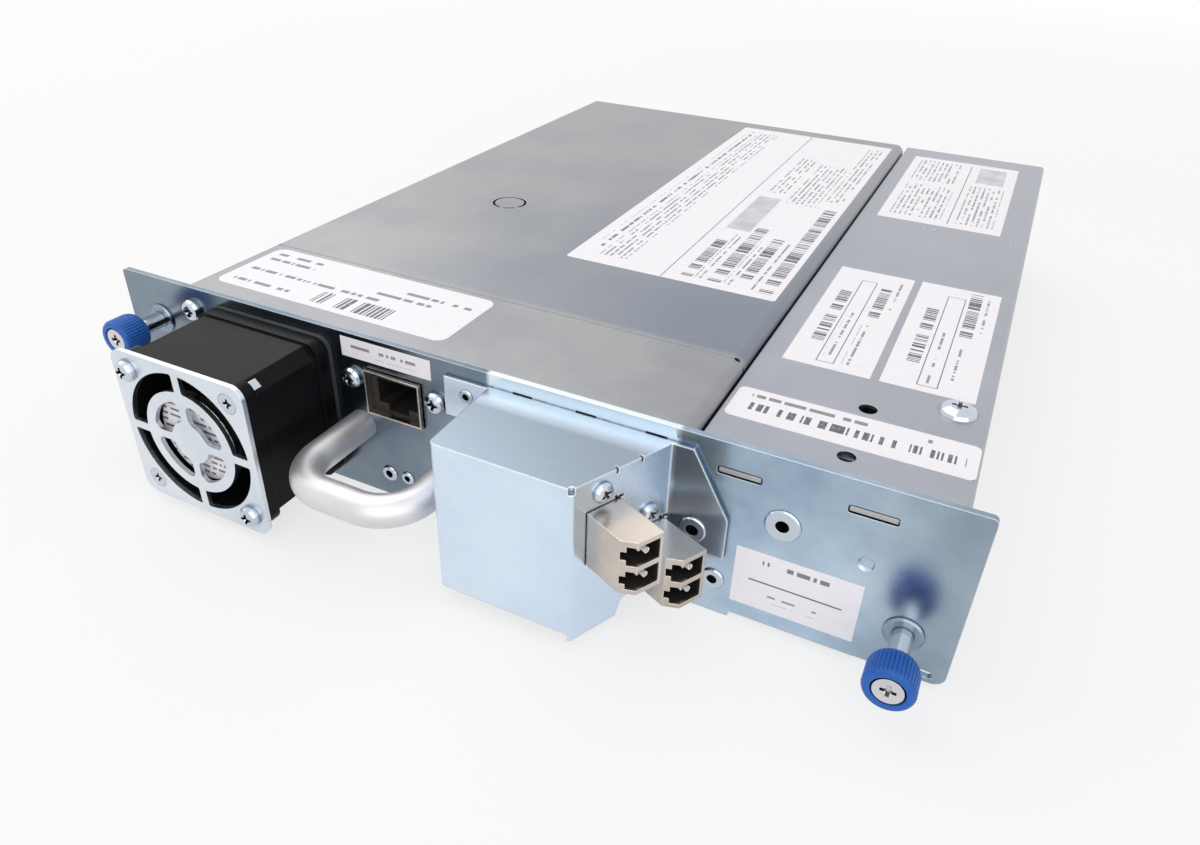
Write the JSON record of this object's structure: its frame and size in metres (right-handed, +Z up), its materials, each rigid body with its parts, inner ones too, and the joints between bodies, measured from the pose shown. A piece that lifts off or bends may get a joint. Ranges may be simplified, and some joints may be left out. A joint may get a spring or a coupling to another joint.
{
  "type": "tape drive module",
  "caption": "Slide-in sled holding a half-height data tape drive, with a service panel carrying a fan, pull handle, network port, angled fibre ports and captive thumbscrews.",
  "frame": {"origin": "middle of the tray's underside, halfway along the panel's width and halfway between the panel's outer face and the tray's far edge", "axes": "+X along the panel towards the end with the angled fibre ports, +Y from the service panel to the cartridge mouth, +Z up through the covers"},
  "size_m": [0.2286, 0.2913, 0.0464],
  "materials": {
    "galvanised_steel": "galvanised, matt",
    "cover_steel": "galvanised, matt grey",
    "panel_zinc": "bluish zinc plate, satin",
    "box_zinc": "bright zinc plate",
    "screw_zinc": "zinc-plated, bright",
    "pin_steel": "nickel-plated, bright",
    "guard_steel": "nickel-plated, satin",
    "motor_steel": "plain steel, satin",
    "nickel_shell": "warm nickel plate, satin",
    "cast_aluminium": "die cast, matt",
    "handle_aluminium": "bead-blasted satin",
    "black_plastic": "black, fine grain",
    "dark_plastic": "dark grey, matt",
    "reel_plastic": "grey, smooth",
    "clutch_plastic": "light grey, smooth",
    "roller_plastic": "cream, polished",
    "connector_plastic": "black, matt",
    "chip_black": "moulded black",
    "knob_blue": "cobalt blue, fine grain",
    "circuit_board": "green solder mask",
    "foam_rubber": "closed-cell foam",
    "brass_sleeve": "plain bearing",
    "contact_gold": "gold-plated",
    "head_ceramic": "polished dark ceramic"
  },
  "bodies": {
    "sled": {"chassis_tray": "galvanised_steel", "bay_divider": "galvanised_steel", "short_cover": "cover_steel", "drive_cover": "cover_steel", "bay_cover": "cover_steel", "bay_brackets": "galvanised_steel", "end_bracket": "galvanised_steel", "cover_button": "screw_zinc", "service_panel": "panel_zinc", "drive_base": "cast_aluminium", "case_screws": "screw_zinc", "drive_bezel": "black_plastic", "reel_motors": "motor_steel", "roller_axles": "pin_steel", "head_actuator": "cast_aluminium", "drive_board": "circuit_board", "bay_board": "circuit_board", "port_boards": "circuit_board", "board_chips": "chip_black", "drive_connector": "connector_plastic", "docking_connector": "connector_plastic", "fan_frame": "black_plastic", "fan_bearing": "brass_sleeve", "fan_stator": "motor_steel", "fan_guard": "guard_steel", "fan_gasket": "foam_rubber", "fan_screws": "screw_zinc", "handle": "handle_aluminium", "handle_screws": "screw_zinc", "jack_shield": "nickel_shell", "jack_insert": "black_plastic", "jack_contacts": "contact_gold", "jack_screws": "screw_zinc", "fibre_box": "box_zinc", "optic_shells": "nickel_shell", "optic_inserts": "black_plastic", "optic_screws": "screw_zinc", "panel_rivets": "screw_zinc", "panel_screw": "screw_zinc", "board_spacers": "screw_zinc", "guide_pins": "pin_steel", "thumbscrew_ferrules": "pin_steel"},
    "fan_rotor": {"fan_rotor": "black_plastic"},
    "left_clip": {"left_clip": "pin_steel"},
    "left_thumbscrew": {"left_shank": "pin_steel", "left_knob": "knob_blue"},
    "right_clip": {"right_clip": "pin_steel"},
    "right_thumbscrew": {"right_shank": "pin_steel", "right_knob": "knob_blue"},
    "cartridge_door": {"cartridge_door": "dark_plastic"},
    "cartridge_carriage": {"cartridge_carriage": "galvanised_steel"},
    "takeup_reel": {"takeup_reel": "reel_plastic"},
    "reel_clutch": {"reel_clutch": "clutch_plastic"},
    "head_carriage": {"head_carriage": "head_ceramic"},
    "tape_roller_1": {"tape_roller_1": "roller_plastic"},
    "tape_roller_2": {"tape_roller_2": "roller_plastic"},
    "tape_roller_3": {"tape_roller_3": "roller_plastic"},
    "tape_roller_4": {"tape_roller_4": "roller_plastic"}
  },
  "joints": [
    {"name": "fan_spin", "type": "hinge", "parent": "sled", "child": "fan_rotor", "pos_m": [-0.0614, -0.143, 0.0236], "axis": [0, 1, 0], "continuous": true},
    {"name": "left_screw_slide", "type": "slide", "parent": "sled", "child": "left_clip", "axis": [0, 1, 0], "range_m": [-0.0045, 0.0066]},
    {"name": "left_screw_turn", "type": "hinge", "parent": "left_clip", "child": "left_thumbscrew", "pos_m": [-0.1023, -0.128, 0.034], "axis": [0, 1, 0], "continuous": true},
    {"name": "right_screw_slide", "type": "slide", "parent": "sled", "child": "right_clip", "axis": [0, 1, 0], "range_m": [-0.003, 0.0081]},
    {"name": "right_screw_turn", "type": "hinge", "parent": "right_clip", "child": "right_thumbscrew", "pos_m": [0.104, -0.128, 0.0126], "axis": [0, 1, 0], "continuous": true},
    {"name": "door_hinge", "type": "hinge", "parent": "sled", "child": "cartridge_door", "pos_m": [-0.01875, 0.1141, 0.0398], "axis": [-1, 0, 0], "range_deg": [0, 85], "stiffness_Nm_per_rad": 0.002, "springref_deg": -11.46},
    {"name": "carriage_slide", "type": "slide", "parent": "sled", "child": "cartridge_carriage", "axis": [0, 1, 0], "range_m": [0, 0.012]},
    {"name": "takeup_spin", "type": "hinge", "parent": "sled", "child": "takeup_reel", "pos_m": [-0.0343, -0.036, 0.026], "axis": [0, 0, 1], "continuous": true},
    {"name": "clutch_spin", "type": "hinge", "parent": "sled", "child": "reel_clutch", "pos_m": [-0.01875, 0.05, 0.01], "axis": [0, 0, 1], "continuous": true},
    {"name": "head_lift", "type": "slide", "parent": "sled", "child": "head_carriage", "axis": [0, 0, 1], "range_m": [-0.003, 0.003]},
    {"name": "roller_1_spin", "type": "hinge", "parent": "sled", "child": "tape_roller_1", "pos_m": [0.0237, 0.01, 0.026], "axis": [0, 0, 1], "continuous": true},
    {"name": "roller_2_spin", "type": "hinge", "parent": "sled", "child": "tape_roller_2", "pos_m": [0.0377, 0, 0.026], "axis": [0, 0, 1], "continuous": true},
    {"name": "roller_3_spin", "type": "hinge", "parent": "sled", "child": "tape_roller_3", "pos_m": [0.0377, -0.032, 0.026], "axis": [0, 0, 1], "continuous": true},
    {"name": "roller_4_spin", "type": "hinge", "parent": "sled", "child": "tape_roller_4", "pos_m": [0.0237, -0.044, 0.026], "axis": [0, 0, 1], "continuous": true}
  ]
}
